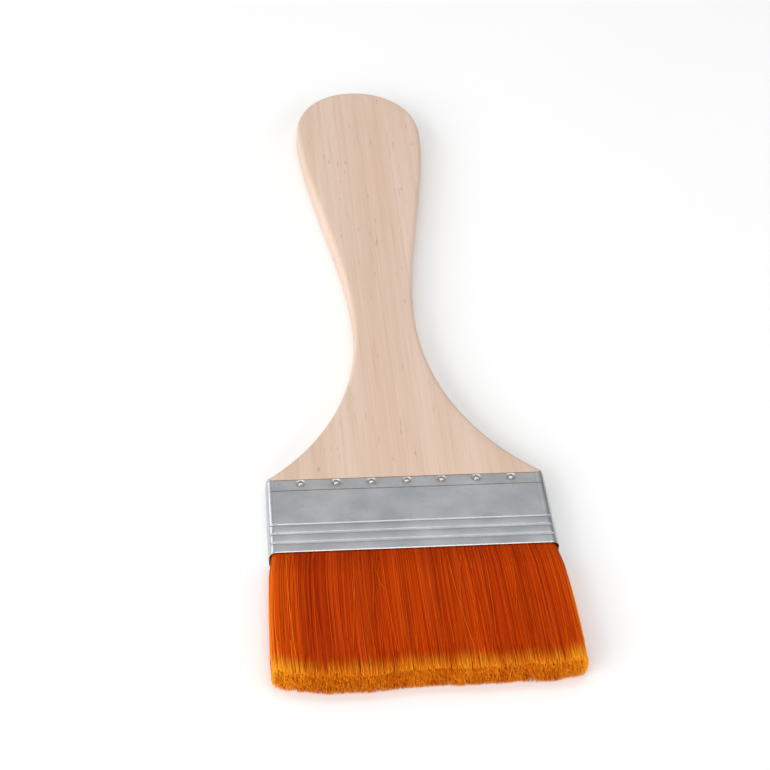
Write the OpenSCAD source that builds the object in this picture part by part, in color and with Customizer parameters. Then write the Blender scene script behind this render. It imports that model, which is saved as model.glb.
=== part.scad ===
// Wide flat paint brush lying on its broad face: a flat wooden handle, a pressed tinplate ferrule
// nailed through both faces, and two banks of synthetic filament set in glue either side of a strip.
// X runs across the width, +Y along the handle away from the filaments, +Z up through the thickness.
// The origin is on the resting plane under the middle of the whole length.

/* [Handle] */
// Length of the handle that shows beyond the ferrule
handle_length = 183; // [165:1:215]
// Thickness of the handle board
board_thickness = 7; // [6.5:0.5:9]
// Width of the handle at its narrow neck
neck_width = 19; // [16:1:24]
// Width of the grip where it is widest
grip_width = 43; // [34:1:50]
// Length of the wooden tongue that fills the ferrule's back end
tongue_length = 12; // [9:0.5:13]

/* [Ferrule] */
// Width across the ferrule
ferrule_width = 77.5; // [64:0.5:90]
// Length of the ferrule from the wood to its mouth
ferrule_length = 26; // [26:1:32]
// Thickness of the tinplate sheet
sheet = 0.3; // [0.2:0.05:0.4]
// Radius of the ferrule's rounded side edges
side_radius = 2.2; // [1.6:0.1:2.6]
// Depth of the pressed grooves
groove_depth = 0.2; // [0.1:0.05:0.25]

/* [Nails] */
// Number of nails through each face
nails_per_face = 7; // [3:1:8]
// Distance between neighbouring nails
nail_pitch = 9.7; // [8:0.1:10]
// Distance of the nails from the ferrule's back edge
nail_inset = 2.3; // [2.2:0.1:2.6]
// Diameter of a nail's head
nail_head = 1.5; // [1.4:0.1:2.4]
// Diameter of a nail's shank
nail_shank = 1; // [0.8:0.1:1.2]
// Length of a nail below its head
nail_length = 2.8; // [2:0.1:2.8]

/* [Filaments] */
// Length of the filaments that shows beyond the ferrule's mouth
filament_length = 40; // [30:1:50]
// How far the filaments spread past the ferrule on each side at their tips
tip_spread = 0.3; // [0:0.1:2]
// Thickness of the filament block at its tips
tip_thickness = 8.4; // [7.5:0.1:10]
// Thickness of the strip between the two banks
strip_thickness = 1.6; // [1:0.1:2]
// Length of the glue plug between the wooden tongue and the strip
glue_length = 4; // [2:0.5:5]

/* [Hidden] */
$fn = 48;
eps = 0.01;                                  // runs a cut just past the face that it leaves through
mid_z = board_thickness / 2;
total_length = handle_length + ferrule_length + filament_length;
back_y = total_length / 2 - handle_length;   // the ferrule's back edge, where the bare wood begins
mouth_y = back_y - ferrule_length;
tip_y = mouth_y - filament_length;

// Pressed grooves by their distance from the ferrule's back edge: one below the nails, three at the mouth
groove_width = 0.6;
nail_groove_at = 5;
mouth_groove_pitch = 3.1;
mouth_grooves = [3, 2, 1];
groove_places = concat([nail_groove_at],
                       [for (n = mouth_grooves) ferrule_length - n * mouth_groove_pitch]);

// The dimple that each nail sits in
dimple_depth = 0.35;
dimple_radius = nail_head / 2 + 0.7;
head_thickness = 0.3;
nail_tip = 0.9;

// The filament block inside and outside the ferrule
slack = sheet + groove_depth + 0.1;          // clearance from the ferrule's outer face to the filaments
mouth_half = ferrule_width / 2 - slack - 1.2;
swell_half = ferrule_width / 2 - 0.4;
swell_length = 3;
tip_half = ferrule_width / 2 + tip_spread;
meet_length = 9;                             // the two banks close the strip's gap over this length
strip_short = 0.5;                           // the strip stops this far inside the mouth
butt_y = back_y - tongue_length - glue_length;

// A point on a cubic Bezier curve
function bezier(a, b, c, d, t) =
    pow(1 - t, 3) * a + 3 * pow(1 - t, 2) * t * b + 3 * (1 - t) * t * t * c + pow(t, 3) * d;
curve_steps = 14;
function curve(a, b, c, d) = [for (i = [1:curve_steps]) bezier(a, b, c, d, i / curve_steps)];

// Right-hand edge of the handle, from its shoulder, just inside the ferrule's corner, to the middle of
// the far end. Heights above the ferrule are shares of the handle's length, and each curve leaves the
// last one smoothly.
shoulder_inset = 0.75;
corner = [ferrule_width / 2 - shoulder_inset, back_y];
neck = [neck_width / 2, back_y + 0.34 * handle_length];
grip = [grip_width / 2, back_y + 0.868 * handle_length];
far_end = [0, back_y + handle_length];
shoulder_pull = [0.58 * corner[0], back_y + 0.065 * handle_length];
neck_pull = 0.16 * handle_length;
grip_pull = 0.146 * handle_length;
end_pull = [0.6 * grip[0], 0.56 * (far_end[1] - grip[1])];
edge = concat(
    [corner],
    curve(corner, shoulder_pull, neck - [0, neck_pull], neck),
    curve(neck, neck + [0, neck_pull], grip - [0, grip_pull], grip),
    curve(grip, grip + [0, end_pull[1]], far_end + [end_pull[0], 0], far_end));
other_edge = [for (i = [len(edge) - 2:-1:0]) [-edge[i][0], edge[i][1]]];

// The ferrule's outer form drawn in by inset, as a bar that runs from distance start to distance end
module bar(inset, start, end) {
    half_w = ferrule_width / 2 - inset;
    half_t = mid_z - inset;
    r = side_radius - inset;
    translate([0, back_y - start, mid_z])
        rotate([90, 0, 0])
            linear_extrude(height = end - start) {
                square([2 * (half_w - r), 2 * half_t], center = true);
                square([2 * half_w, 2 * (half_t - r)], center = true);
                for (x = [-1, 1], z = [-1, 1])
                    translate([x * (half_w - r), z * (half_t - r)]) circle(r = r);
            }
}

// Everything outside the bar of the given inset, around one groove and this much wider on each side
module groove_ring(at, inset, wider) {
    difference() {
        translate([-ferrule_width, back_y - at - groove_width / 2 - wider, -board_thickness])
            cube([2 * ferrule_width, groove_width + 2 * wider, 3 * board_thickness]);
        bar(inset, at - groove_width, at + groove_width);
    }
}

// Puts its children at each nail, with their +Z out of the chosen face and z = 0 in that face
module at_nails(front) {
    first = -(nails_per_face - 1) / 2;
    for (i = [0:nails_per_face - 1])
        translate([(first + i) * nail_pitch, back_y - nail_inset, front ? board_thickness : 0])
            rotate([front ? 0 : 180, 0, 0]) children();
}

// The room inside the ferrule, which the wooden tongue fills at the back
module ferrule_room(start, end) {
    difference() {
        bar(sheet, start, end);
        for (at = groove_places) groove_ring(at, sheet + groove_depth, sheet);
        for (front = [true, false]) at_nails(front)
            translate([0, 0, -dimple_depth - sheet])
                cylinder(r = dimple_radius + sheet, h = board_thickness / 2);
    }
}

module nail() {
    translate([0, 0, -dimple_depth]) {
        cylinder(d = nail_head, h = head_thickness);
        translate([0, 0, -nail_length + nail_tip])
            cylinder(d = nail_shank, h = nail_length - nail_tip);
        translate([0, 0, -nail_length])
            cylinder(d1 = 0.2 * nail_shank, d2 = nail_shank, h = nail_tip);
    }
}

// The hole that a nail has made
module nail_hole() {
    translate([0, 0, -dimple_depth - nail_length + nail_tip])
        cylinder(d = nail_shank, h = nail_length);
    translate([0, 0, -dimple_depth - nail_length])
        cylinder(d1 = 0.2 * nail_shank, d2 = nail_shank, h = nail_tip);
}

module handle() {
    color("burlywood")
        difference() {
            union() {
                linear_extrude(height = board_thickness) polygon(concat(edge, other_edge));
                ferrule_room(0, tongue_length);
            }
            for (front = [true, false]) at_nails(front) nail_hole();
        }
}

module ferrule() {
    color("silver")
        difference() {
            bar(0, 0, ferrule_length);
            for (at = groove_places) groove_ring(at, groove_depth, 0);
            difference() {
                bar(sheet, -eps, ferrule_length + eps);
                for (at = groove_places) groove_ring(at, sheet + groove_depth, sheet);
                for (front = [true, false]) at_nails(front)
                    translate([0, 0, -dimple_depth - sheet])
                        cylinder(r = dimple_radius + sheet, h = board_thickness / 2);
            }
            for (front = [true, false]) at_nails(front) {
                translate([0, 0, -dimple_depth]) cylinder(r = dimple_radius, h = 1);
                translate([0, 0, -1]) cylinder(d = nail_shank, h = 2);
            }
        }
}

module nails_front() {
    color("gainsboro") at_nails(true) nail();
}

module nails_back() {
    color("gainsboro") at_nails(false) nail();
}

// One bank: its profile along the length, kept inside the block's plan outline
module bank(profile) {
    plan = [[mouth_half, butt_y], [mouth_half, mouth_y],
            [swell_half, mouth_y - swell_length], [tip_half, tip_y]];
    plan_back = [for (i = [len(plan) - 1:-1:0]) [-plan[i][0], plan[i][1]]];
    intersection() {
        translate([-ferrule_width, 0, 0])
            rotate([90, 0, 90])
                linear_extrude(height = 2 * ferrule_width) polygon(profile);
        translate([0, 0, -eps])
            linear_extrude(height = 2 * tip_thickness) polygon(concat(plan, plan_back));
    }
}

module filaments_front() {
    gap_top = mid_z + strip_thickness / 2;
    top = board_thickness - slack;
    color("darkorange")
        bank([[butt_y, gap_top], [butt_y, top], [mouth_y, top],
              [tip_y, tip_thickness], [tip_y, tip_thickness / 2],
              [mouth_y - meet_length, mid_z], [mouth_y, gap_top]]);
}

module filaments_back() {
    gap_bottom = mid_z - strip_thickness / 2;
    color("orangered")
        bank([[butt_y, slack], [butt_y, gap_bottom], [mouth_y, gap_bottom],
              [mouth_y - meet_length, mid_z], [tip_y, tip_thickness / 2],
              [tip_y, 0], [mouth_y, slack]]);
}

module spacer_strip() {
    color("tan")
        translate([-mouth_half, mouth_y + strip_short, mid_z - strip_thickness / 2])
            cube([2 * mouth_half, butt_y - mouth_y - strip_short, strip_thickness]);
}

module glue_set() {
    color("khaki") ferrule_room(tongue_length, tongue_length + glue_length);
}

handle();
ferrule();
nails_front();
nails_back();
filaments_front();
filaments_back();
spacer_strip();
glue_set();
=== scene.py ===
"""Looks of the wide flat paint brush: a waisted wooden board, a nailed tinplate ferrule and filaments.

Lengths are in metres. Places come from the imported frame's boxes, and what no box can tell, such as
the neck's width, repeats the part's own sizes. X is across the width, +Y runs along the handle away
from the filaments, and +Z is up out of the face that the brush lies on.
"""

import math

import bmesh
import bpy
import numpy as np
from mathutils import Matrix, Vector


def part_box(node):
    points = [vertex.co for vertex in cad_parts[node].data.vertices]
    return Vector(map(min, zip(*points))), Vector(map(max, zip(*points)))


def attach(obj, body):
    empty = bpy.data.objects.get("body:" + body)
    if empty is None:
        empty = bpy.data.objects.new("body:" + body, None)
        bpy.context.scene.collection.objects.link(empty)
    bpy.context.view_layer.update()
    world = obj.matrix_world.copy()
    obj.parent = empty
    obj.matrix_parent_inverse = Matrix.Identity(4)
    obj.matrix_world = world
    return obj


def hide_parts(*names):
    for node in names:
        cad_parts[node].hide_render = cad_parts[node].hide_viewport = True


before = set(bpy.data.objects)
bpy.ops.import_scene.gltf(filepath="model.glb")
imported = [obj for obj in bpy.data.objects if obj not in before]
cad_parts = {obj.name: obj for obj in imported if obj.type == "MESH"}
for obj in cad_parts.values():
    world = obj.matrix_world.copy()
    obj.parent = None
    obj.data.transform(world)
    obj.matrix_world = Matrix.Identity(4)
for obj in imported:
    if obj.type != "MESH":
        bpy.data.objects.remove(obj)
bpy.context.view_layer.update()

MM = 0.001

# ---------------------------------------------------------------- places read from the frame
ferrule_low, ferrule_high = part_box("ferrule")
handle_low, handle_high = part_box("handle")
filament_low, filament_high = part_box("filaments_front")
nail_low, nail_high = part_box("nails_front")

HALF_W = ferrule_high.x
BOARD_T = handle_high.z
MID_Z = BOARD_T / 2
BACK_Y = ferrule_high.y            # where the bare wood begins
MOUTH_Y = ferrule_low.y
TONGUE_Y = handle_low.y
TIP_Y = filament_low.y
BUTT_Y = filament_high.y
FAR_Y = handle_high.y
HANDLE_L = FAR_Y - BACK_Y
FERRULE_L = BACK_Y - MOUTH_Y
FILAMENT_L = MOUTH_Y - TIP_Y
TIP_HALF_W = filament_high.x
TIP_T = filament_high.z
NAIL_COUNT = 7
NAIL_HEAD_R = 0.75 * MM
NAIL_INSET = 2.3 * MM               # from the ferrule's back edge
NAIL_Y = BACK_Y - NAIL_INSET
NAIL_PITCH = (nail_high.x - nail_low.x - 2 * NAIL_HEAD_R) / (NAIL_COUNT - 1)
NAIL_XS = [(i - (NAIL_COUNT - 1) / 2) * NAIL_PITCH for i in range(NAIL_COUNT)]
SHEET = 0.3 * MM


# ---------------------------------------------------------------- mesh helpers
def new_piece(name, verts, faces, material, replaced, smooth_angle=40):
    """Makes a smooth-shaded mesh piece that rides on the brush and stands for its CAD nodes."""
    mesh = bpy.data.meshes.new(name)
    mesh.from_pydata(np.asarray(verts).tolist(), [], faces)
    mesh.validate()
    mesh.shade_smooth()
    mesh.set_sharp_from_angle(angle=math.radians(smooth_angle))
    mesh.materials.append(material)
    piece = bpy.data.objects.new(name, mesh)
    bpy.context.scene.collection.objects.link(piece)
    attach(piece, "root")
    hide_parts(*replaced)
    return piece


def tube_faces(rings, around, start=0):
    """Quads that join closed rings of equally many points, each ring one after another."""
    return [
        (start + r * around + c, start + r * around + (c + 1) % around,
         start + (r + 1) * around + (c + 1) % around, start + (r + 1) * around + c)
        for r in range(rings - 1) for c in range(around)
    ]


def smooth_step(x):
    x = np.clip(x, 0, 1)
    return x * x * (3 - 2 * x)


def ramp(value, start, end):
    """Rises smoothly from 0 at start to 1 at end."""
    return smooth_step((value - start) / (end - start))


def weld(mesh, distance=1e-6):
    """Joins points that lie on each other and makes every face look outward."""
    work = bmesh.new()
    work.from_mesh(mesh)
    bmesh.ops.remove_doubles(work, verts=work.verts, dist=distance)
    bmesh.ops.dissolve_degenerate(work, edges=work.edges, dist=distance / 10)
    bmesh.ops.recalc_face_normals(work, faces=work.faces)
    work.to_mesh(mesh)
    work.free()


# ---------------------------------------------------------------- shader node helpers
class Nodes:
    """A short way to write the nodes of a tree."""

    def __init__(self, tree):
        self.tree = tree

    def add(self, kind, **values):
        node = self.tree.nodes.new(kind)
        for key, value in values.items():
            setattr(node, key, value)
        return node

    def join(self, source, target):
        self.tree.links.new(source, target)

    def feed(self, socket, value):
        if isinstance(value, bpy.types.NodeSocket):
            self.join(value, socket)
        else:
            socket.default_value = value

    def span(self, value, low, high, out_low=0.0, out_high=1.0):
        """Maps value from low..high to out_low..out_high, held at both ends."""
        node = self.add("ShaderNodeMapRange")
        self.feed(node.inputs["Value"], value)
        node.inputs["From Min"].default_value = low
        node.inputs["From Max"].default_value = high
        node.inputs["To Min"].default_value = out_low
        node.inputs["To Max"].default_value = out_high
        return node.outputs["Result"]

    def math(self, operation, a, b=0.0):
        node = self.add("ShaderNodeMath", operation=operation)
        self.feed(node.inputs[0], a)
        self.feed(node.inputs[1], b)
        return node.outputs["Value"]

    def mix(self, share, a, b):
        """The colour that goes from a to b as share goes from 0 to 1."""
        node = self.add("ShaderNodeMix", data_type="RGBA")
        self.feed(node.inputs[0], share)
        self.feed(node.inputs[6], a)
        self.feed(node.inputs[7], b)
        return node.outputs[2]


class Look(Nodes):
    """The nodes of one material, laid on the object's own coordinates."""

    def __init__(self, name):
        self.material = bpy.data.materials.new(name)
        self.material.use_nodes = True
        super().__init__(self.material.node_tree)
        self.surface = self.tree.nodes["Principled BSDF"]
        self.place = self.add("ShaderNodeTexCoord").outputs["Object"]

    def noise(self, scale, detail=3.0, rough=0.5, distortion=0.0):
        """Noise that changes about scale times in a metre along x, y and z."""
        mapping = self.add("ShaderNodeMapping")
        self.join(self.place, mapping.inputs["Vector"])
        mapping.inputs["Scale"].default_value = scale
        node = self.add("ShaderNodeTexNoise")
        self.join(mapping.outputs["Vector"], node.inputs["Vector"])
        node.inputs["Scale"].default_value = 1.0
        node.inputs["Detail"].default_value = detail
        node.inputs["Roughness"].default_value = rough
        node.inputs["Distortion"].default_value = distortion
        return node.outputs["Fac"]

    def attribute(self, name):
        return self.add("ShaderNodeAttribute", attribute_name=name).outputs["Fac"]

    def bump(self, height, distance, strength, normal=None):
        node = self.add("ShaderNodeBump")
        node.inputs["Strength"].default_value = strength
        node.inputs["Distance"].default_value = distance
        self.join(height, node.inputs["Height"])
        if normal is not None:
            self.join(normal, node.inputs["Normal"])
        return node.outputs["Normal"]

    def finish(self, colour, rough, normal=None, **plain):
        """Feeds the surface and returns the material. A plain value's name has _ for each space."""
        self.feed(self.surface.inputs["Base Color"], colour)
        self.feed(self.surface.inputs["Roughness"], rough)
        if normal is not None:
            self.join(normal, self.surface.inputs["Normal"])
        for key, value in plain.items():
            self.surface.inputs[key.replace("_", " ")].default_value = value
        return self.material


def linear(level):
    """The shader's linear number for a level of 0 to 255 on a screen, by the sRGB curve."""
    share = level / 255
    return ((share + 0.055) / 1.055) ** 2.4 if share > 0.04045 else share / 12.92


def rgb(red, green, blue):
    return (linear(red), linear(green), linear(blue), 1.0)


# ---------------------------------------------------------------- materials
def bare_wood():
    """Pale sanded birch: long fine grain, faint growth bands, small dark flecks, and sides painted lighter
    as painted light.
    """
    n = Look("bare_sanded_wood")
    wander = n.noise((18, 5, 18), 2.0)
    bands = n.noise((170, 5, 60), 3.0, 0.55, 0.6)
    fibres = n.noise((2600, 60, 2600), 4.0, 0.6)
    fine = n.noise((5200, 220, 5200), 2.0, 0.6)
    colour = n.mix(n.span(bands, 0.32, 0.68), rgb(208, 180, 159), rgb(219, 197, 180))
    colour = n.mix(n.span(wander, 0.35, 0.7, 0.0, 0.4), colour, rgb(215, 185, 162))
    colour = n.mix(n.span(fibres, 0.3, 0.72, 0.0, 0.28), colour, rgb(195, 163, 139))
    # growth lines: thin, darker, and far longer than they are wide
    lines = n.noise((420, 3.2, 120), 2.0, 0.5, 0.25)
    from_line = n.math("ABSOLUTE", n.math("SUBTRACT", lines, 0.5))
    line = n.math("SUBTRACT", 1.0, n.span(from_line, 0.0, 0.022))
    colour = n.mix(n.math("MULTIPLY", line, 0.22), colour, rgb(180, 144, 118))
    # flecks: short dark pores along the grain
    pores = n.span(n.noise((1500, 190, 1500), 1.0, 0.4), 0.71, 0.78)
    colour = n.mix(n.math("MULTIPLY", pores, 0.34), colour, rgb(152, 111, 85))
    # painted light: the sawn and sanded sides are painted paler than the face, as if they caught more
    # light
    facing = n.add("ShaderNodeSeparateXYZ")
    n.join(n.add("ShaderNodeNewGeometry").outputs["Normal"], facing.inputs["Vector"])
    edge = n.span(n.math("ABSOLUTE", facing.outputs["Z"]), 0.35, 0.94, 1.0, 0.0)
    colour = n.mix(n.math("MULTIPLY", edge, 0.3), colour, rgb(232, 211, 193))
    normal = n.bump(fibres, 0.00005, 0.5)
    normal = n.bump(fine, 0.00002, 0.4, normal)
    rough = n.span(fibres, 0.3, 0.7, 0.56, 0.72)
    return n.finish(colour, rough, normal, Specular_IOR_Level=0.3)


def tinplate():
    """Dull tinned steel: faint rolling lines, cloudy handling marks, and painted warm reflection and shade
    round the nails and along the nail line.
    """
    n = Look("dull_tinplate")
    cloud = n.noise((110, 150, 110), 3.0, 0.55)
    rolled = n.noise((90, 2600, 900), 3.0, 0.6)
    specks = n.noise((1400, 1400, 1400), 2.0, 0.6)
    colour = n.mix(n.span(cloud, 0.3, 0.7), rgb(193, 196, 198), rgb(209, 211, 212))
    colour = n.mix(n.span(rolled, 0.35, 0.75, 0.0, 0.25), colour, rgb(182, 184, 188))
    colour = n.mix(n.span(specks, 0.62, 0.78, 0.0, 0.4), colour, rgb(150, 150, 152))
    # painted warm reflection and shade: warmer and darker round each nail and along the nail line
    patches = n.span(n.noise((700, 700, 700)), 0.35, 0.65)
    painted_shade_and_reflection = n.math("MULTIPLY", n.attribute("painted_shade_and_reflection"), patches)
    colour = n.mix(n.math("MULTIPLY", painted_shade_and_reflection, 0.4), colour, rgb(190, 162, 125))
    rough = n.math("ADD", n.span(cloud, 0.3, 0.7, 0.27, 0.36), n.span(rolled, 0.3, 0.7, 0.0, 0.08))
    normal = n.bump(cloud, 0.0002, 0.2)
    normal = n.bump(rolled, 0.00001, 0.5, normal)
    return n.finish(colour, rough, normal, Metallic=1.0)


def nail_steel():
    """Bright wire nails with light hammer marks."""
    n = Look("bright_nail_steel")
    marks = n.noise((1800, 1800, 1800), 2.0)
    colour = n.mix(marks, rgb(176, 176, 178), rgb(208, 207, 204))
    rough = n.span(marks, 0.3, 0.7, 0.14, 0.3)
    return n.finish(colour, rough, n.bump(marks, 0.00003, 0.4), Metallic=1.0)


def filament():
    """Orange nylon: deep red-orange in the block with the deeper filaments painted darker as painted
    shade, painted light on its sides, and golden at the tips.
    """
    n = Look("orange_nylon_filament")
    along = n.attribute("along")
    tone = n.attribute("tone")
    streak = n.noise((1500, 22, 1500), 3.0, 0.6)
    locks = n.noise((330, 16, 60), 2.0, 0.5)
    body = n.mix(tone, rgb(170, 40, 0), rgb(214, 82, 2))
    body = n.mix(n.span(streak, 0.35, 0.7, 0.0, 0.35), body, rgb(200, 62, 1))
    body = n.mix(n.span(locks, 0.42, 0.68, 0.0, 0.5), body, rgb(154, 36, 0))
    # painted light: a tone above 1 turns the filaments bright orange, as on lit sides
    body = n.mix(n.span(tone, 1.0, 1.4), body, rgb(246, 138, 14))
    body = n.mix(n.span(along, 0.0, 0.2, 0.4, 0.0), body, rgb(150, 38, 0))
    # the last millimetres turn golden, each filament from a slightly different place
    shifted = n.math("ADD", along, n.math("MULTIPLY", tone, 0.07))
    near_tip = n.span(shifted, 0.9, 1.04)
    tip = n.mix(tone, rgb(236, 122, 4), rgb(252, 176, 40))
    colour = n.mix(n.math("POWER", near_tip, 1.6), body, tip)
    rough = n.span(streak, 0.3, 0.7, 0.4, 0.54)
    return n.finish(colour, rough, n.bump(streak, 0.00004, 0.4),
                    Specular_IOR_Level=0.2, Specular_Tint=(1.0, 0.55, 0.2, 1.0))


def strip_wood():
    """Rough thin wood of the strip between the banks."""
    n = Look("spacer_strip_wood")
    grain = n.noise((60, 900, 900), 4.0, 0.6)
    colour = n.mix(grain, rgb(176, 148, 112), rgb(208, 184, 148))
    return n.finish(colour, n.span(grain, 0.3, 0.7, 0.6, 0.8), n.bump(grain, 0.0001, 0.5))


def cured_glue():
    """Amber resin with small bubbles."""
    n = Look("cured_amber_glue")
    cloud = n.noise((300, 300, 300), 3.0)
    bubbles = n.span(n.noise((2400, 2400, 2400), 1.0), 0.62, 0.7)
    colour = n.mix(cloud, rgb(170, 120, 42), rgb(206, 160, 76))
    colour = n.mix(n.math("MULTIPLY", bubbles, 0.4), colour, rgb(232, 208, 150))
    return n.finish(colour, n.span(cloud, 0.3, 0.7, 0.18, 0.34), n.bump(bubbles, 0.0001, 0.5))


# ---------------------------------------------------------------- handle
SHOULDER_HALF = HALF_W - 0.75 * MM
NECK_HALF = 9.5 * MM
GRIP_HALF = 21.5 * MM
NECK_AT = 0.34                      # heights above the ferrule, as shares of the bare handle's length
GRIP_AT = 0.868
SHOULDER_PULL = (0.58, 0.065)       # how far the curves' middle points reach, as shares
NECK_PULL = 0.16
GRIP_PULL = 0.146
END_PULL = (0.6, 0.56)
EDGE_R = 1.5 * MM
EDGE_STEPS = 6
CURVE_STEPS = 44
CAP_COLUMNS = 12
TONGUE_INSET = SHEET + 0.1 * MM     # keeps the tongue clear of the ferrule's sides
TONGUE_THINNER = SHEET + 0.5 * MM   # and of everything pressed into its faces
TONGUE_END = BACK_Y - 0.05 * MM


def bezier(a, b, c, d, t):
    a, b, c, d = (np.asarray(p, float) for p in (a, b, c, d))
    t = np.asarray(t)[:, None]
    return (1 - t) ** 3 * a + 3 * (1 - t) ** 2 * t * b + 3 * (1 - t) * t ** 2 * c + t ** 3 * d


def handle_edge():
    """The right-hand edge of the board from the ferrule's corner to the middle of the far end."""
    neck_y = BACK_Y + NECK_AT * HANDLE_L
    grip_y = BACK_Y + GRIP_AT * HANDLE_L
    shoulder_pull = (SHOULDER_PULL[0] * SHOULDER_HALF, BACK_Y + SHOULDER_PULL[1] * HANDLE_L)
    neck_pull = NECK_PULL * HANDLE_L
    grip_pull = GRIP_PULL * HANDLE_L
    end_pull = END_PULL[1] * (FAR_Y - grip_y)
    steps = np.arange(CURVE_STEPS + 1) / CURVE_STEPS
    shoulder = bezier((SHOULDER_HALF, BACK_Y), shoulder_pull,
                      (NECK_HALF, neck_y - neck_pull), (NECK_HALF, neck_y), steps)
    grip = bezier((NECK_HALF, neck_y), (NECK_HALF, neck_y + neck_pull),
                  (GRIP_HALF, grip_y - grip_pull), (GRIP_HALF, grip_y), steps[1:])
    end = bezier((GRIP_HALF, grip_y), (GRIP_HALF, grip_y + end_pull),
                 (END_PULL[0] * GRIP_HALF, FAR_Y), (0, FAR_Y), steps[1:])
    return np.concatenate([shoulder, grip, end])


def board_ring(x, y, nx, ny, inset=0.0, thinner=0.0):
    """One closed ring round the board, from the top's right edge down the side and back over the left.

    The ring's right edge is at (x, y) with the outward direction (nx, ny).
    """
    turns = np.linspace(0, math.pi / 2, EDGE_STEPS)
    side = [(EDGE_R * (1 - math.sin(a)), BOARD_T - EDGE_R * (1 - math.cos(a))) for a in turns]
    side += [(0, MID_Z)] + [(o, BOARD_T - z) for o, z in reversed(side)]
    squeeze = (BOARD_T - 2 * thinner) / BOARD_T
    side = [(o + inset, MID_Z + (z - MID_Z) * squeeze) for o, z in side]
    right = [(max(x - o * nx, 0), y - o * ny, z) for o, z in side]
    left = [(-px, py, pz) for px, py, pz in reversed(right)]
    across = np.linspace(1, -1, CAP_COLUMNS + 1)[1:-1]
    bottom = [(right[-1][0] * c, right[-1][1], right[-1][2]) for c in across]
    top = [(-right[0][0] * c, right[0][1], right[0][2]) for c in across]
    return right + bottom + left + top


def make_handle():
    edge = handle_edge()
    run = np.gradient(edge, axis=0)
    run /= np.linalg.norm(run, axis=1)[:, None]
    normals = np.stack([run[:, 1], -run[:, 0]], axis=1)
    normals[-1] = (0, 1)
    rings = [board_ring(HALF_W, y, 1, 0, TONGUE_INSET, TONGUE_THINNER) for y in (TONGUE_Y, TONGUE_END)]
    rings += [board_ring(x, y, nx, ny) for (x, y), (nx, ny) in zip(edge, normals)]
    around = len(rings[0])
    verts = [p for ring in rings for p in ring]
    faces = tube_faces(len(rings), around) + [tuple(range(around))[::-1]]
    piece = new_piece("handle_board", verts, faces, bare_wood(), ["handle"], 50)
    weld(piece.data)


# ---------------------------------------------------------------- ferrule
SIDE_R = 2.2 * MM
SIDE_STEPS = 14
FACE_COLUMNS = 230
ROLL_DEPTH = 0.12 * MM              # the back edge is rolled in over the wood
ROLL_L = 0.4 * MM
NAIL_LINE = 5.0 * MM
STRIP_DEPTH = 0.15 * MM             # the nailed strip lies this far below the plain panel
STRIP_STEP = 0.3 * MM
BEAD_PITCH = 3.1 * MM
BEAD_COUNT = 3
BEAD_START = FERRULE_L - BEAD_COUNT * BEAD_PITCH
BEAD_DEPTH = 0.32 * MM
BEAD_LEAD = 0.3 * MM
CREASE_REACH = 0.42 * MM
CROWN_FALL = 0.05 * MM
CURL_DEPTH = 0.06 * MM
CURL_L = 0.3 * MM
MOUTH_SHEET = 0.12 * MM             # the mouth's edge is filed thin
PRESSED_SIDE_FADE = 0.75
DIMPLE_R = 1.35 * MM
DIMPLE_DEPTH = 0.35 * MM
SIDE_CREASE_DEPTH = 0.06 * MM
SIDE_CREASE_IN = 2.7 * MM
SIDE_CREASE_REACH = 0.22 * MM
SEAM_X = 12 * MM
SEAM_DEPTH = 0.14 * MM
SEAM_STEP = 0.15 * MM
WAVE_DEPTH = 0.03 * MM


def hump(share):
    """1 at share 0, and close to 0 from 2 on."""
    return math.exp(-share ** 2)


def rounded_edge(quarter, centre_x, centre_z):
    """The points of a quarter turn in the ferrule's section, without its first."""
    points = []
    for a in np.linspace(quarter * 90, quarter * 90 + 90, SIDE_STEPS)[1:]:
        c, s = math.cos(math.radians(a)), math.sin(math.radians(a))
        points.append((centre_x + SIDE_R * c, centre_z + SIDE_R * s, c, s))
    return points


def ferrule_round():
    """Points round the ferrule's section with their outward directions: (x, z, out x, out z)."""
    flat = HALF_W - SIDE_R
    points = [(x, BOARD_T, 0, 1) for x in np.linspace(flat, -flat, FACE_COLUMNS)]
    points += rounded_edge(1, -flat, BOARD_T - SIDE_R) + rounded_edge(2, -flat, SIDE_R)
    points += [(x, 0, 0, -1) for x in np.linspace(-flat, flat, FACE_COLUMNS)[1:]]
    points += rounded_edge(3, flat, SIDE_R) + rounded_edge(4, flat, BOARD_T - SIDE_R)[:-1]
    return np.array(points)


def ferrule_rows():
    """Distances from the back edge, close together where the sheet is pressed."""
    nailed_strip = np.linspace(0, NAIL_LINE - 0.5 * MM, 24)
    nail_line = np.linspace(NAIL_LINE - 0.4 * MM, NAIL_LINE + 0.4 * MM, 11)
    plain_panel = np.linspace(NAIL_LINE + 0.8 * MM, BEAD_START - 0.6 * MM, 14)
    beads = np.linspace(BEAD_START - 0.4 * MM, FERRULE_L, 92)
    return np.concatenate([nailed_strip, nail_line, plain_panel, beads])


def pressed_lines(along):
    """How far the rolled edge, the nailed strip and the beads are pressed in, along from the back edge."""
    phase = (along - BEAD_START) / BEAD_PITCH
    if phase > BEAD_COUNT - 0.5:
        return CURL_DEPTH * ramp(along, FERRULE_L - CURL_L, FERRULE_L)
    if phase > 0:
        # nearly flat crowns with a narrow crease above each
        inside = phase % 1.0
        from_crease = min(inside, 1 - inside) * BEAD_PITCH
        return BEAD_DEPTH * (1 - ramp(from_crease, 0, CREASE_REACH)) + CROWN_FALL * (2 * inside - 1) ** 2
    rolled = ROLL_DEPTH * (1 - ramp(along, 0, ROLL_L))
    strip = STRIP_DEPTH * (1 - ramp(along, NAIL_LINE - STRIP_STEP / 2, NAIL_LINE + STRIP_STEP / 2))
    return rolled + strip + BEAD_DEPTH * ramp(along, BEAD_START - BEAD_LEAD, BEAD_START)


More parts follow.
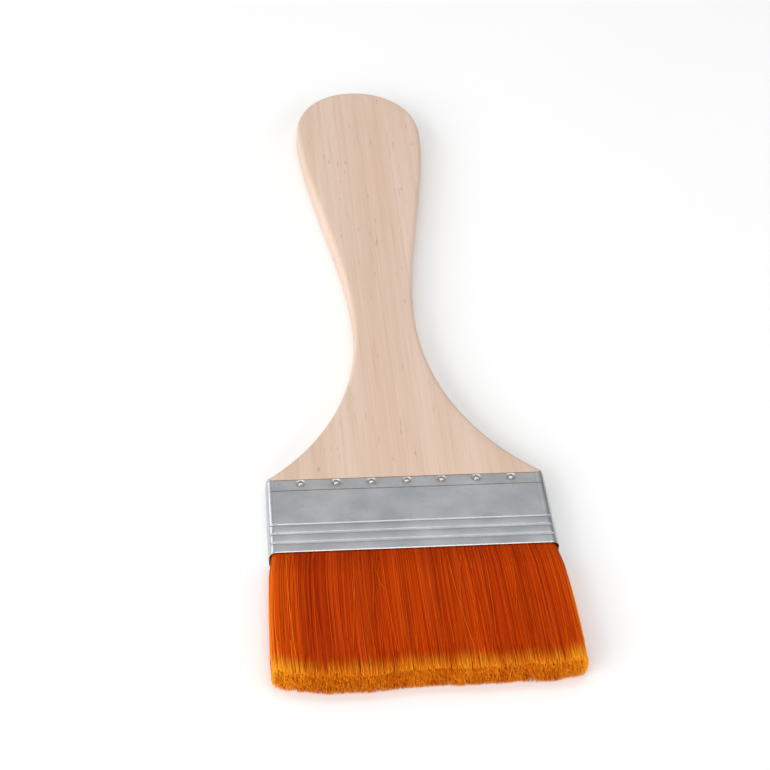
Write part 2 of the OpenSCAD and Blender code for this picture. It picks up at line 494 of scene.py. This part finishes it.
def seam_depth(x):
    """The lapped seam down the back: a step, and a slow rise beyond it back to the plain face."""
    back_to_plain = ramp(x, SEAM_X + 1 * MM, SEAM_X + 10 * MM)
    return SEAM_DEPTH * ramp(x, SEAM_X, SEAM_X + SEAM_STEP) * (1 - back_to_plain)


def pressed_depth(x, face, along):
    """How far the sheet is pressed in. face is 1 in front, -1 on the back and 0 at the sides."""
    depth = pressed_lines(along)
    if along > 1 * MM:
        depth *= 1 - PRESSED_SIDE_FADE * ramp(abs(x), HALF_W - 3 * MM, HALF_W - 0.5 * MM)
    if face != 0:
        depth += SIDE_CREASE_DEPTH * hump((abs(x) - HALF_W + SIDE_CREASE_IN) / SIDE_CREASE_REACH)
        for nail_x in NAIL_XS:
            reach = math.hypot(x - nail_x, along - NAIL_INSET) / DIMPLE_R
            depth += (DIMPLE_DEPTH - STRIP_DEPTH) * (1 - ramp(reach, 0.5, 1))
    if face == -1:
        depth += seam_depth(x)
    # hand-fed sheet is never quite flat
    wave = math.sin(x / (7.3 * MM) + 1.3 * face) * math.sin(along / (4.1 * MM) + 0.6)
    return depth + WAVE_DEPTH * (1 + wave)


def shade_and_reflection_share(x, face, along):
    """Share of the painted warm reflection and shade: a ring round each nail, and the line below the
    nails.
    """
    line = 0.6 * hump((along - NAIL_LINE) / (0.35 * MM))
    if face == 0:
        return line
    near = min(math.hypot(x - nail_x, along - NAIL_INSET) for nail_x in NAIL_XS)
    return max(hump((near - 1.5 * MM) / (0.9 * MM)), line)


def make_ferrule():
    section, rows = ferrule_round(), ferrule_rows()
    around = len(section)
    outer, painted_shades_and_reflections = [], []
    for along in rows:
        for x, z, out_x, out_z in section:
            face = int(round(out_z)) if abs(out_x) < 0.01 else 0
            depth = pressed_depth(x, face, along)
            outer.append((x - out_x * depth, BACK_Y - along, z - out_z * depth))
            painted_shades_and_reflections.append(shade_and_reflection_share(x, face, along))
    outer = np.array(outer)
    # the inside, which is hidden, follows only some of the outer rows
    inner_rows = [0, 8, 23, 28, 34, 48, 62, 78, 94, 110, 126, len(rows) - 1]
    outward = np.stack([section[:, 2], np.zeros(around), section[:, 3]], axis=1)
    outward = np.tile(outward, (len(inner_rows), 1))
    picked = np.concatenate([outer[r * around:(r + 1) * around] for r in inner_rows])
    thickness = np.full((len(inner_rows), around), SHEET)
    thickness[-1] = MOUTH_SHEET
    inner = picked - outward * thickness.reshape(-1, 1)
    base = len(outer)
    faces = tube_faces(len(rows), around)
    faces += [f[::-1] for f in tube_faces(len(inner_rows), around, base)]
    last_outer, last_inner = (len(rows) - 1) * around, base + (len(inner_rows) - 1) * around
    for c in range(around):
        d = (c + 1) % around
        faces.append((d, c, base + c, base + d))
        faces.append((last_outer + c, last_outer + d, last_inner + d, last_inner + c))
    verts = np.concatenate([outer, inner])
    piece = new_piece("ferrule_band", verts, faces, tinplate(), ["ferrule"])
    # the painted warm reflection and shade is kept on the outer points only
    painted_shade_and_reflection = piece.data.attributes.new("painted_shade_and_reflection", "FLOAT", "POINT")
    values = np.zeros(len(piece.data.vertices), np.float32)
    values[:len(painted_shades_and_reflections)] = painted_shades_and_reflections
    painted_shade_and_reflection.data.foreach_set("value", values)


# ---------------------------------------------------------------- nails
NAIL_SIDES = 28
HEAD_RIM = 0.16 * MM
HEAD_DOME = 0.24 * MM
HEAD_CHAMFER = 0.05 * MM
SHANK_R = 0.5 * MM
SHANK_END = -1.9 * MM               # heights from the head's underside
NAIL_POINT = -2.8 * MM
NAIL_SEAT = 0.38 * MM               # depth of the head's underside below the ferrule's face


def nail_profile():
    """Radius and height of a wire nail with a domed head, from the crown down to the point."""
    turns = np.linspace(0.12, 1.57, 8)
    crown = [(NAIL_HEAD_R * math.sin(a), HEAD_RIM + HEAD_DOME * math.cos(a)) for a in turns]
    rim = [(NAIL_HEAD_R, 0.04 * MM), (NAIL_HEAD_R - HEAD_CHAMFER, 0)]
    shank = [(SHANK_R, -0.02 * MM), (SHANK_R, SHANK_END), (0.1 * MM, NAIL_POINT)]
    return crown + rim + shank


def make_nails(name, node, front, material):
    verts, faces = [], []
    profile = nail_profile()
    sign = 1 if front else -1
    seat_z = (BOARD_T if front else 0) - sign * NAIL_SEAT
    for x in NAIL_XS:
        start = len(verts)
        for radius, height in profile:
            for k in range(NAIL_SIDES):
                a = 2 * math.pi * k / NAIL_SIDES
                place = (x + radius * math.cos(a), NAIL_Y + radius * math.sin(a), seat_z + sign * height)
                verts.append(place)
        faces += tube_faces(len(profile), NAIL_SIDES, start)
        last = start + (len(profile) - 1) * NAIL_SIDES
        faces.append(tuple(range(start, start + NAIL_SIDES)))
        faces.append(tuple(range(last, last + NAIL_SIDES)))
    piece = new_piece(name, verts, faces, material, [node], 50)
    weld(piece.data, 1e-7)


# ---------------------------------------------------------------- filaments
rng = np.random.default_rng(11)
MOUTH_HALF = HALF_W - 0.75 * MM
SWELL_HALF = HALF_W - 0.3 * MM
SWELL_L = 4 * MM
CORNER_R = 2.4 * MM
STRAND_R = 0.16 * MM
LONG_KNOTS = np.array([0, 0.08, 0.2, 0.36, 0.52, 0.68, 0.82, 0.93, 1.0])
SHORT_KNOTS = np.array([0, 0.4, 0.75, 0.92, 1.0])
SIDES = 3
CLUMP_COUNT = 34
FACE_LAYERS = 4
FACE_STRANDS = 270
SIDE_LAYERS = 4
SIDE_STRANDS = 24
END_STRANDS = 4000
END_L = 12 * MM
END_R = 0.14 * MM
TUCKED = -1.5 * MM                  # filaments start this far inside the ferrule's mouth
MOUTH_CLEAR = 0.62 * MM             # from the ferrule's broad faces to the filaments at its mouth
TOP_SWELL = 0.45 * MM
BULGE = 0.65 * MM
STRIP_HALF = 0.8 * MM
CORE_COLUMNS = 40
# painted shade: the core is painted as dark as the deepest outer layer, darker than the top filaments
CORE_SHADE_TONE = 0.35
CORE_DEPTH = 0.26 * MM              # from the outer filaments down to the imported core
CORE_SINK = 1.3 * MM                # and this much more near the tips


def block_half_width(s):
    """Half-width of the filament block s past the mouth. Inside the ferrule s is negative."""
    swell = smooth_step(s / SWELL_L)
    t = np.clip(s / FILAMENT_L, 0, 1)
    bulge = BULGE * np.sin(math.pi * t ** 0.9)
    return MOUTH_HALF + (SWELL_HALF - MOUTH_HALF) * swell + (TIP_HALF_W - SWELL_HALF) * t + bulge


def block_top(s):
    at_mouth = BOARD_T - MOUTH_CLEAR
    rise = TIP_T - 0.1 * MM - at_mouth - TOP_SWELL
    return at_mouth + TOP_SWELL * ramp(s, 0, 5 * MM) + rise * np.clip(s / FILAMENT_L, 0, 1)


def block_bottom(s):
    return MOUTH_CLEAR - 0.5 * MM * ramp(s, 0, 9 * MM)


def in_block(a, b, s):
    """The place of shares a across and b up, each -1 to 1, in the block's round-edged section at s."""
    half, top, bottom = block_half_width(s), block_top(s), block_bottom(s)
    x = a * half
    over = np.clip(np.abs(x) - (half - CORNER_R), 0, CORNER_R)
    drop = CORNER_R - np.sqrt(np.maximum(CORNER_R ** 2 - over ** 2, 0))
    mid = (top + bottom) / 2
    z = mid + b * np.maximum((top - bottom) / 2 - drop, 0.2 * MM)
    return x, z


class Clumps:
    """Locks of filaments: neighbours lean together, rise or sink together and share a tone."""

    def __init__(self, count):
        widths = rng.uniform(0.5, 1.8, count)
        edges = np.concatenate([[0], np.cumsum(widths)]) / widths.sum() * 2 - 1
        self.edges = edges
        self.centre = (edges[1:] + edges[:-1]) / 2
        self.pull = rng.uniform(0.02, 0.28, count)
        self.lean = rng.normal(0, 0.008, count)
        self.sink = rng.uniform(0, 0.14, count) * MM
        self.tone = rng.normal(0, 0.08, count)
        self.shorter = np.abs(rng.normal(0, 0.14, count)) * MM

    def of(self, a):
        return np.clip(np.searchsorted(self.edges, a) - 1, 0, len(self.centre) - 1)


def tip_line(a):
    """How much shorter than the block the filaments end at share a across: cut straight, worn uneven."""
    worn = 0.5 * np.sin(3.1 * a + 0.8) + 0.25 * np.sin(9 * a + 2.0) + 0.12 * np.sin(23 * a)
    corner = ramp(np.abs(a), 0.66, 1) ** 1.5 * np.where(a < 0, 2.6, 1.8)
    return (0.7 + worn + corner) * MM


def strands(a, b, first, clumps, out_b, tone, spread=0.3 * MM, radius=STRAND_R, knots=LONG_KNOTS):
    """Tubes from first past the mouth to the tips. out_b is 1 on top, -1 underneath and 0 inside."""
    count = len(a)
    which = clumps.of(a)
    worn_off = np.abs(rng.normal(0, 0.8, count)) * MM
    length = FILAMENT_L - tip_line(a) - clumps.shorter[which] - worn_off
    s = first + (length - first)[:, None] * knots[None, :]
    t = np.clip(s / FILAMENT_L, 0, 1)
    # a lock's filaments draw together and lean with it, most of all at the tips
    gather = smooth_step(t) * clumps.pull[which][:, None] * abs(out_b)
    across = a[:, None] + (clumps.centre[which] - a)[:, None] * gather * 0.55
    across = across + clumps.lean[which][:, None] * t ** 1.3 * (0.3 + 0.7 * abs(out_b))
    across = np.clip(across, -1.004, 1.004)
    x, z = in_block(across, np.broadcast_to(b[:, None], across.shape), s)
    # each filament strays on its own, and flicks aside at its very end
    x = x + rng.normal(0, 1, count)[:, None] * spread * t ** 2
    flick = ramp(s / length[:, None], 0.85, 1)
    x = x + rng.normal(0, 0.16, count)[:, None] * MM * flick
    # locks on a broad face lie at slightly different depths
    sink = clumps.sink[which][:, None] * smooth_step(t * 1.6)
    sink = sink + rng.uniform(0, 0.10, count)[:, None] * MM
    z = z - out_b * sink
    z = z + rng.normal(0, 1, count)[:, None] * spread * 0.35 * t ** 2
    z = z + rng.normal(0, 0.12, count)[:, None] * MM * flick
    z = np.clip(z, 0.16 * MM, TIP_T - 0.02 * MM)
    slim = 1 - 0.5 * ramp(s / length[:, None], 0.8, 1)
    radii = radius * slim * rng.uniform(0.8, 1.15, count)[:, None]
    # painted light: the filaments near the block's sides are painted lighter, as if lit on the sides
    painted_side_light = 0.45 * ramp(np.abs(a), 0.74, 1)
    tones = np.clip(tone + clumps.tone[which] + rng.normal(0, 0.14, count), 0, 1) + painted_side_light
    return x, MOUTH_Y - s, z, radii, s / length[:, None], tones


class Bank:
    """Collects points, faces and the along and tone values of one bank's mesh."""

    def __init__(self):
        self.verts, self.faces, self.along, self.tone, self.count = [], [], [], [], 0

    def add_tubes(self, x, y, z, radii, along, tones):
        count, knots = x.shape
        turn = rng.uniform(0, 2 * math.pi, count)[:, None, None] + np.arange(SIDES) * 2 * math.pi / SIDES
        px = x[:, :, None] + radii[:, :, None] * np.cos(turn)
        pz = z[:, :, None] + radii[:, :, None] * np.sin(turn)
        py = np.broadcast_to(y[:, :, None], px.shape)
        self.verts.append(np.stack([px, py, pz], axis=-1).reshape(-1, 3))
        self.along.append(np.repeat(along.reshape(-1), SIDES))
        self.tone.append(np.repeat(tones, knots * SIDES))
        ring = np.arange(knots - 1)[:, None] * SIDES + np.arange(SIDES)[None, :]
        turned = np.arange(knots - 1)[:, None] * SIDES + (np.arange(SIDES)[None, :] + 1) % SIDES
        quads = np.stack([ring, ring + SIDES, turned + SIDES, turned], axis=-1).reshape(-1, 4)
        starts = self.count + np.arange(count) * knots * SIDES
        self.faces += (quads[None] + starts[:, None, None]).reshape(-1, 4).tolist()
        last = (knots - 1) * SIDES
        self.faces += (starts[:, None] + np.arange(SIDES)[None, :]).tolist()
        self.faces += (starts[:, None] + last + np.arange(SIDES)[None, ::-1]).tolist()
        self.count += count * knots * SIDES

    def add_grid_tube(self, rings, along, tone):
        """A closed lofted solid: rings of equally many points, capped at both ends."""
        rings = np.asarray(rings)
        around = rings.shape[1]
        self.verts.append(rings.reshape(-1, 3))
        self.along.append(np.repeat(along, around))
        self.tone.append(np.full(rings.shape[0] * around, tone))
        self.faces += tube_faces(rings.shape[0], around, self.count)
        self.faces.append(tuple(self.count + c for c in range(around))[::-1])
        self.faces.append(tuple(self.count + (rings.shape[0] - 1) * around + c for c in range(around)))
        self.count += rings.shape[0] * around

    def make(self, name, node, material):
        piece = new_piece(name, np.concatenate(self.verts), self.faces, material, [node], 80)
        for key, values in (("along", self.along), ("tone", self.tone)):
            attribute = piece.data.attributes.new(key, "FLOAT", "POINT")
            attribute.data.foreach_set("value", np.concatenate(values).astype(np.float32))


def core_rings(front):
    """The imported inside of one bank, from the butts in the glue to just short of the tips."""
    rings, along = [], []
    for s in np.concatenate([[MOUTH_Y - BUTT_Y], np.linspace(-1 * MM, FILAMENT_L - 2.6 * MM, 16)]):
        depth = CORE_DEPTH + CORE_SINK * ramp(s, FILAMENT_L - 8 * MM, FILAMENT_L - 2 * MM)
        a = np.linspace(-1, 1, CORE_COLUMNS + 1)
        shrink = 1 - depth / block_half_width(s)
        x, outer_z = in_block(a, 1.0 if front else -1.0, s)
        mid = (block_top(s) + block_bottom(s)) / 2 if s > 0 else MID_Z
        opened = STRIP_HALF * (1 - ramp(s, 0, 9 * MM))
        inner = np.full(len(a), mid + opened if front else mid - opened)
        if front:
            outer_z = np.maximum(outer_z - depth, inner + 0.05 * MM)
        else:
            outer_z = np.minimum(outer_z + depth, inner - 0.05 * MM)
        near_tips = ramp(s, FILAMENT_L - 16 * MM, FILAMENT_L - 2 * MM)
        y = MOUTH_Y - s + (tip_line(a) - 0.7 * MM) * near_tips
        outward = np.stack([x * shrink, y, outer_z], axis=1)
        inward = np.stack([x * shrink, y, inner], axis=1)[::-1]
        ring = np.concatenate([outward, inward])
        rings.append(ring if front else ring[::-1])
        along.append(np.clip(s / FILAMENT_L, 0, 1))
    return rings, np.array(along)


def stray_hairs(count, reach, drift, bow, lift):
    """Loose filaments that curve over the front face a little above their neighbours.

    They end at a share of the length within reach. drift, bow and lift are in millimetres.
    """
    knots = np.linspace(0, 1, 14)[None, :]
    a = rng.uniform(-0.95, 0.93, count)[:, None]
    first = rng.uniform(0.3, 3, count)[:, None] * MM
    last = rng.uniform(*reach, count)[:, None] * FILAMENT_L
    s = first + (last - first) * knots
    x, z = in_block(np.broadcast_to(a, s.shape), np.ones(s.shape), s)
    x = x + rng.normal(0, drift, count)[:, None] * (knots - 0.4) * MM
    x = x + rng.normal(0, bow, count)[:, None] * np.sin(math.pi * knots) * MM
    z = z + (0.03 + rng.uniform(0.2, 1.0, count)[:, None] * lift * np.sin(math.pi * knots)) * MM
    x = np.clip(x, -HALF_W, HALF_W)
    z = np.minimum(z, TIP_T - 0.02 * MM)
    radii = np.broadcast_to(rng.uniform(0.07, 0.12, count)[:, None] * MM, s.shape)
    return x, MOUTH_Y - s, z, radii, s / FILAMENT_L, rng.uniform(0.9, 1.15, count)


def make_bank(name, node, front, material):
    bank = Bank()
    sign = 1.0 if front else -1.0
    clumps = Clumps(CLUMP_COUNT)
    rings, along = core_rings(front)
    bank.add_grid_tube(rings, along, CORE_SHADE_TONE)
    # layers over the broad face, each deeper layer painted darker as painted shade
    for layer in range(FACE_LAYERS):
        count = FACE_STRANDS
        a = np.linspace(-0.995, 0.995, count) + rng.uniform(-0.5, 0.5, count) * 2 / count
        b = sign * (1 - 0.022 * layer - rng.uniform(0, 0.025, count))
        bank.add_tubes(*strands(a, b, TUCKED, clumps, sign, 0.5 - 0.05 * layer))
    # the narrow side faces, their filaments given tone 1.0 as painted light
    for side in (-1, 1):
        for layer in range(SIDE_LAYERS):
            count = SIDE_STRANDS
            b = sign * (np.linspace(0.02, 0.94, count) + rng.uniform(-0.5, 0.5, count) / count)
            a = side * (0.998 - layer * 0.006 - rng.uniform(0, 0.004, count))
            bank.add_tubes(*strands(a, b, TUCKED, clumps, 0.0, 1.0, 0.2 * MM))
    # the filaments' ends, right through the bank's thickness
    a = rng.uniform(-0.985, 0.985, END_STRANDS)
    b = sign * rng.uniform(0.0, 0.97, END_STRANDS)
    ends = strands(a, b, FILAMENT_L - END_L, clumps, 0.0, 0.5, 0.35 * MM, END_R, SHORT_KNOTS)
    bank.add_tubes(*ends)
    if front:
        bank.add_tubes(*stray_hairs(24, (0.75, 0.95), 1.5, 0.4, 0.06))
        bank.add_tubes(*stray_hairs(7, (0.3, 0.85), 2.2, 1.1, 0.3))
    bank.make(name, node, material)


# ---------------------------------------------------------------- stage
CAMERA_AT = Vector((-49.0, -323.8, 312.3)) * MM
CAMERA_RIGHT = Vector((0.969, -0.192, 0.158))
CAMERA_AIM = Vector((-2.0, -21.0, 3.5)) * MM
CAMERA_LENS = 69
FLOOR_REACH = 3.0
FLOOR_Z = -0.05 * MM
WORLD_STRENGTH = 0.95
# name, place and size in metres, and power in watts
SOFT_BOXES = (
    ("key_left", (-1.2, -0.75, 0.75), (1.3, 1.0), 15),
    ("overhead", (0.0, 0.28, 1.5), (1.6, 0.35), 4),
    ("fill_right", (1.2, -0.5, 0.7), (0.6, 0.6), 3),
    ("front_low", (-0.35, -1.5, 0.55), (2.2, 0.9), 8.5),
    ("rim_left", (-1.1, 0.85, 0.45), (0.5, 0.5), 2.2),
)


def make_camera():
    """The photograph's viewpoint, turned to centre the brush and closed in on it."""
    camera = bpy.data.objects.new("camera", bpy.data.cameras.new("camera"))
    camera.data.lens = CAMERA_LENS
    camera.data.clip_start = 0.01
    back = (CAMERA_AT - CAMERA_AIM).normalized()
    right = (CAMERA_RIGHT - back * CAMERA_RIGHT.dot(back)).normalized()
    up = back.cross(right)
    camera.matrix_world = Matrix.Translation(CAMERA_AT) @ Matrix((right, up, back)).transposed().to_4x4()
    bpy.context.scene.collection.objects.link(camera)
    bpy.context.scene.camera = camera


def soft_box(name, place, size, power):
    """A rectangular studio light that looks at the brush."""
    light = bpy.data.lights.new(name, "AREA")
    light.shape = "RECTANGLE"
    light.size, light.size_y = size
    light.energy = power
    lamp = bpy.data.objects.new(name, light)
    lamp.location = place
    lamp.rotation_mode = "QUATERNION"
    lamp.rotation_quaternion = (-Vector(place)).to_track_quat("-Z", "Y")
    bpy.context.scene.collection.objects.link(lamp)


def paint_world(tree):
    """A white tent: grey halfway up, brightest overhead, and with a dark card low behind the brush."""
    n = Nodes(tree)
    split = n.add("ShaderNodeSeparateXYZ")
    n.join(n.add("ShaderNodeTexCoord").outputs["Generated"], split.inputs["Vector"])
    tent = n.add("ShaderNodeValToRGB")
    horizon, overhead = tent.color_ramp.elements
    horizon.position = 0.0
    horizon.color = (0.66, 0.66, 0.67, 1)
    overhead.position = 1.0
    overhead.color = (0.99, 0.99, 1.0, 1)
    halfway = tent.color_ramp.elements.new(0.7)
    halfway.color = (0.46, 0.465, 0.475, 1)
    n.join(split.outputs["Z"], tent.inputs["Fac"])
    behind = n.span(split.outputs["Y"], 0.3, 0.7)
    low = n.span(split.outputs["Z"], 0.6, 0.35)
    card = n.math("MULTIPLY", behind, low)
    background = tree.nodes["Background"]
    n.join(n.mix(card, tent.outputs["Color"], (0.10, 0.10, 0.105, 1)), background.inputs["Color"])
    background.inputs["Strength"].default_value = WORLD_STRENGTH


def make_stage():
    quarters = ((-1, -1), (1, -1), (1, 1), (-1, 1))
    corners = [(x * FLOOR_REACH, y * FLOOR_REACH, FLOOR_Z) for x, y in quarters]
    mesh = bpy.data.meshes.new("floor")
    mesh.from_pydata(corners, [], [(0, 1, 2, 3)])
    floor = bpy.data.objects.new("floor", mesh)
    bpy.context.scene.collection.objects.link(floor)
    n = Look("pale_studio_floor")
    cloud = n.noise((6, 6, 6), 2.0)
    mesh.materials.append(n.finish(n.mix(cloud, rgb(243, 243, 242), rgb(248, 248, 247)), 0.85))
    world = bpy.data.worlds.new("studio")
    bpy.context.scene.world = world
    world.use_nodes = True
    paint_world(world.node_tree)
    for lamp in SOFT_BOXES:
        soft_box(*lamp)
    bpy.context.scene.view_settings.view_transform = "Standard"


# ---------------------------------------------------------------- build
make_camera()
make_handle()
make_ferrule()
nail_material = nail_steel()
make_nails("nails_front_set", "nails_front", True, nail_material)
make_nails("nails_back_set", "nails_back", False, nail_material)
filament_material = filament()
make_bank("filaments_front_bank", "filaments_front", True, filament_material)
make_bank("filaments_back_bank", "filaments_back", False, filament_material)
for node, material in (("spacer_strip", strip_wood()), ("glue_set", cured_glue())):
    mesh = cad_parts[node].data
    mesh.materials.clear()
    mesh.materials.append(material)
make_stage()
